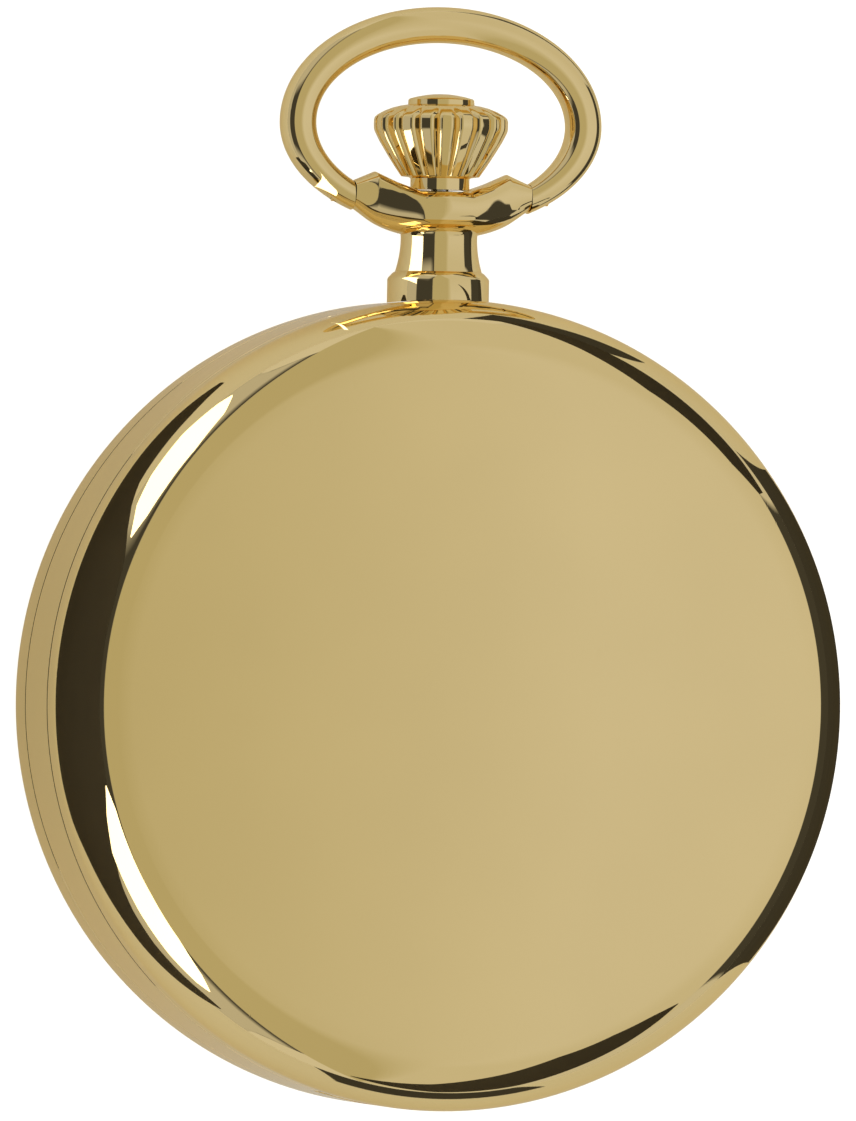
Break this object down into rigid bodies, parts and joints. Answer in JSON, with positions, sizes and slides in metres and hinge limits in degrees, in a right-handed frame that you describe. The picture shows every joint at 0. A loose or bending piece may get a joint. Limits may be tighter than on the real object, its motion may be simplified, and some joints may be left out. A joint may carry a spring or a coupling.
{
  "type": "pocket watch",
  "caption": "Round polished hunter-cased pocket watch with hinged front lid, fluted crown, oval swivelling bow and a hand-wound movement under a small-seconds dial.",
  "frame": {"origin": "centre of the flat rest face of the back cover", "axes": "+Z out through the front lid, +Y to the pendant at 12 o'clock, +X to 3 o'clock"},
  "size_m": [0.05, 0.0682, 0.0158],
  "materials": {
    "gold_plate": "polished gold plate",
    "brass": "brushed brass",
    "steel": "polished steel",
    "blued_steel": "heat-blued steel",
    "crystal": "clear mineral glass",
    "enamel": "white enamel",
    "ruby": "polished synthetic ruby",
    "nylon": "moulded nylon"
  },
  "bodies": {
    "case": {"case_band": "gold_plate", "back_cover": "gold_plate", "bezel": "gold_plate", "crystal": "crystal", "pendant": "gold_plate", "stem_sleeve": "steel", "bow_pin_left": "steel", "bow_pin_right": "steel", "lid_hinge_pin": "steel", "lift_spring": "steel", "movement_ring": "nylon", "mainplate": "brass", "barrel_bridge": "brass", "train_bridge": "brass", "balance_cock": "brass", "pallet_bridge": "brass", "dial": "enamel", "balance_jewel": "ruby", "escape_jewel": "ruby", "hairspring": "steel", "crown_wheel_screw": "steel", "click_screw": "steel", "click_spring": "steel", "case_screw_left": "steel", "case_screw_right": "steel", "barrel_bridge_screw": "steel", "train_bridge_screw": "steel", "balance_cock_screw": "steel"},
    "lid": {"front_lid": "gold_plate"},
    "bow": {"bow": "gold_plate"},
    "winder": {"winding_pinion": "steel"},
    "stem": {"crown": "gold_plate", "winding_stem": "steel"},
    "clutch": {"sliding_pinion": "steel"},
    "intermediate_wheel": {"crown_wheel": "steel"},
    "ratchet": {"ratchet_wheel": "steel", "barrel_arbor": "steel", "ratchet_screw": "steel"},
    "click": {"click": "steel"},
    "barrel": {"mainspring_barrel": "brass", "barrel_cover": "brass", "mainspring": "steel"},
    "centre": {"centre_wheel": "brass"},
    "third": {"third_wheel": "brass"},
    "fourth": {"fourth_wheel": "brass", "seconds_hand": "blued_steel"},
    "escape": {"escape_wheel": "steel"},
    "pallet": {"pallet_fork": "steel"},
    "balance": {"balance_wheel": "brass"},
    "minute": {"cannon_pinion": "steel", "minute_hand": "blued_steel"},
    "minute_wheel": {"minute_wheel": "brass"},
    "hour": {"hour_wheel": "brass", "hour_hand": "blued_steel"},
    "lock": {"lock_spring": "steel"}
  },
  "joints": [
    {"name": "lid_hinge", "type": "hinge", "parent": "case", "child": "lid", "pos_m": [0, -0.0239, 0.0094], "axis": [1, 0, 0], "range_deg": [0, 95]},
    {"name": "bow_swivel", "type": "hinge", "parent": "case", "child": "bow", "pos_m": [0, 0.03145, 0.00735], "axis": [1, 0, 0], "range_deg": [-90, 90]},
    {"name": "crown_turn", "type": "hinge", "parent": "case", "child": "winder", "pos_m": [0, 0.0147, 0.00735], "axis": [0, 1, 0], "continuous": true},
    {"name": "crown_pull", "type": "slide", "parent": "winder", "child": "stem", "axis": [0, 1, 0], "range_m": [-0.0005, 0.0008], "stiffness_N_per_m": 150},
    {"name": "clutch_slide", "type": "slide", "parent": "winder", "child": "clutch", "axis": [0, 1, 0], "range_m": [-0.0004, 0.00025]},
    {"name": "crown_wheel_turn", "type": "hinge", "parent": "case", "child": "intermediate_wheel", "pos_m": [0, 0.01055, 0.0054], "axis": [0, 0, -1], "continuous": true},
    {"name": "ratchet_turn", "type": "hinge", "parent": "case", "child": "ratchet", "pos_m": [0.00712, 0.00411, 0.0054], "axis": [0, 0, -1], "continuous": true},
    {"name": "click_lift", "type": "hinge", "parent": "case", "child": "click", "pos_m": [0.01338, 0.00703, 0.0054], "axis": [0, 0, 1], "range_deg": [-8, 0]},
    {"name": "seconds_turn", "type": "hinge", "parent": "case", "child": "fourth", "pos_m": [0, -0.0093, 0.0066], "axis": [0, 0, -1], "continuous": true},
    {"name": "third_turn", "type": "hinge", "parent": "case", "child": "third", "pos_m": [-0.00215, -0.00525, 0.007], "axis": [0, 0, -1], "continuous": true},
    {"name": "centre_turn", "type": "hinge", "parent": "case", "child": "centre", "pos_m": [0, 0, 0.0062], "axis": [0, 0, -1], "continuous": true},
    {"name": "barrel_turn", "type": "hinge", "parent": "case", "child": "barrel", "pos_m": [0.00712, 0.00411, 0.007], "axis": [0, 0, -1], "continuous": true},
    {"name": "escape_turn", "type": "hinge", "parent": "case", "child": "escape", "pos_m": [0.00403, -0.01077, 0.007], "axis": [0, 0, -1], "continuous": true},
    {"name": "minute_turn", "type": "hinge", "parent": "case", "child": "minute", "pos_m": [0, 0, 0.0105], "axis": [0, 0, -1], "continuous": true},
    {"name": "minute_wheel_turn", "type": "hinge", "parent": "case", "child": "minute_wheel", "pos_m": [-0.00255, 0.00255, 0.0084], "axis": [0, 0, -1], "continuous": true},
    {"name": "hour_turn", "type": "hinge", "parent": "case", "child": "hour", "pos_m": [0, 0, 0.01], "axis": [0, 0, -1], "continuous": true},
    {"name": "pallet_rock", "type": "hinge", "parent": "case", "child": "pallet", "pos_m": [0.00687, -0.00951, 0.007], "axis": [0, 0, -1], "range_deg": [-5, 5]},
    {"name": "balance_swing", "type": "hinge", "parent": "case", "child": "balance", "pos_m": [0.0096, -0.0083, 0.0064], "axis": [0, 0, -1], "range_deg": [-270, 270]},
    {"name": "lock_spring_flex", "type": "hinge", "parent": "case", "child": "lock", "pos_m": [0.01888, 0.01322, 0.0074], "axis": [0, 0, 1], "range_deg": [0, 1]}
  ],
  "couplings": [
    {"joint": "third_turn", "follows": "seconds_turn", "ratio": -0.13333},
    {"joint": "centre_turn", "follows": "seconds_turn", "ratio": 0.016667},
    {"joint": "barrel_turn", "follows": "seconds_turn", "ratio": -0.0027778},
    {"joint": "escape_turn", "follows": "seconds_turn", "ratio": -10},
    {"joint": "minute_turn", "follows": "seconds_turn", "ratio": 0.016667},
    {"joint": "minute_wheel_turn", "follows": "seconds_turn", "ratio": -0.0055556},
    {"joint": "hour_turn", "follows": "seconds_turn", "ratio": 0.0013889},
    {"joint": "crown_wheel_turn", "follows": "crown_turn", "ratio": 0.42857},
    {"joint": "ratchet_turn", "follows": "crown_turn", "ratio": -0.375},
    {"joint": "clutch_slide", "follows": "crown_pull", "ratio": -0.5}
  ]
}
